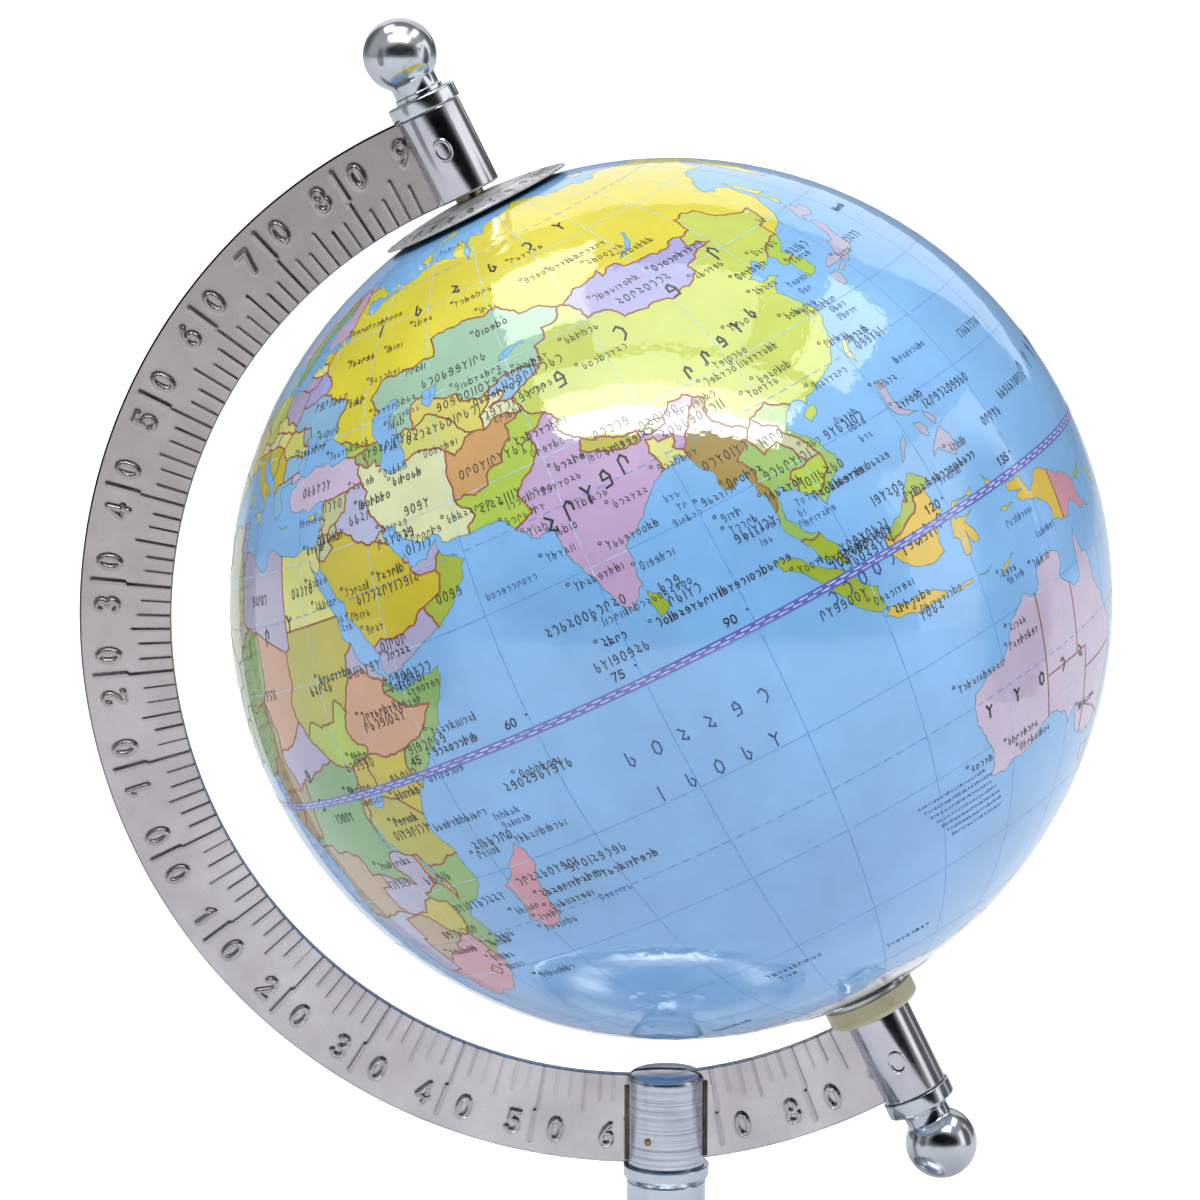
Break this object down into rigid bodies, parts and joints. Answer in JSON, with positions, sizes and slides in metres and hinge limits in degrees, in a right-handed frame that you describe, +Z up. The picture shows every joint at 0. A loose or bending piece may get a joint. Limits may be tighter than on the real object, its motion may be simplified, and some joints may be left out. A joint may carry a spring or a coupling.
{
  "type": "desktop globe on stand",
  "caption": "Desk globe that turns on a tilted axle between the rolled ends of a stamped metal arc, on a short round column and a weighted domed base.",
  "frame": {"origin": "centre of the underside of the base pad, on the column's axis", "axes": "+Z up along the column; the arc lies in the XZ plane on the -X side of the globe; the globe's polar axis leans 26.4 degrees from +Z towards -X at its north end; the side seen from -Y shows the Indian Ocean"},
  "size_m": [0.1495, 0.1272, 0.2234],
  "materials": {
    "pad": "matt closed-cell foam sheet",
    "chrome_spun": "bright chrome plate on spun steel",
    "iron": "dark cast iron",
    "zinc": "zinc-plated steel",
    "chrome_rod": "satin chrome on turned rod",
    "turned_steel": "turned steel with tool marks",
    "brass": "dull brass",
    "braze": "brown braze residue",
    "nickel_sheet": "nickel-plated stamped sheet, warm grey",
    "axle_steel": "drawn steel rod",
    "chrome_turned": "mirror chrome on turned parts",
    "dial_print": "worn grey metal with black printed marks",
    "nylon": "translucent ivory nylon",
    "clear_film": "thin clear film over the pole",
    "shell_plastic": "moulded shell, hidden under the skin",
    "map_print": "printed map under clear gloss laminate",
    "tape_print": "printed tape under clear gloss laminate"
  },
  "bodies": {
    "stand": {"base_pad": "pad", "base_dome": "chrome_spun", "base_weight": "iron", "base_washer": "zinc", "base_screw": "zinc", "column_rod": "chrome_rod", "column_ferrule": "chrome_rod", "column_head": "turned_steel", "arc_rivet": "brass", "braze_beads": "braze", "meridian_arc": "nickel_sheet", "axle_rod": "axle_steel", "top_cap_ring": "chrome_turned", "top_ball_nut": "chrome_turned", "bottom_cap_ring": "chrome_turned", "bottom_ball_nut": "chrome_turned", "dial_spacer": "brass", "south_washer": "zinc", "south_collar": "nylon"},
    "globe": {"globe_shell_north": "shell_plastic", "globe_shell_south": "shell_plastic", "map_skin_north": "map_print", "map_skin_south": "map_print", "equator_tape": "tape_print", "north_pole_bush": "nylon", "south_pole_bush": "nylon", "south_pole_disc": "clear_film"},
    "dial": {"hour_dial": "dial_print"}
  },
  "joints": [
    {"name": "globe_spin", "type": "hinge", "parent": "stand", "child": "globe", "pos_m": [0.0005, 0, 0.14], "axis": [-0.4446, 0, 0.8957], "continuous": true},
    {"name": "dial_turn", "type": "hinge", "parent": "stand", "child": "dial", "pos_m": [0.0005, 0, 0.14], "axis": [-0.4446, 0, 0.8957], "continuous": true}
  ]
}
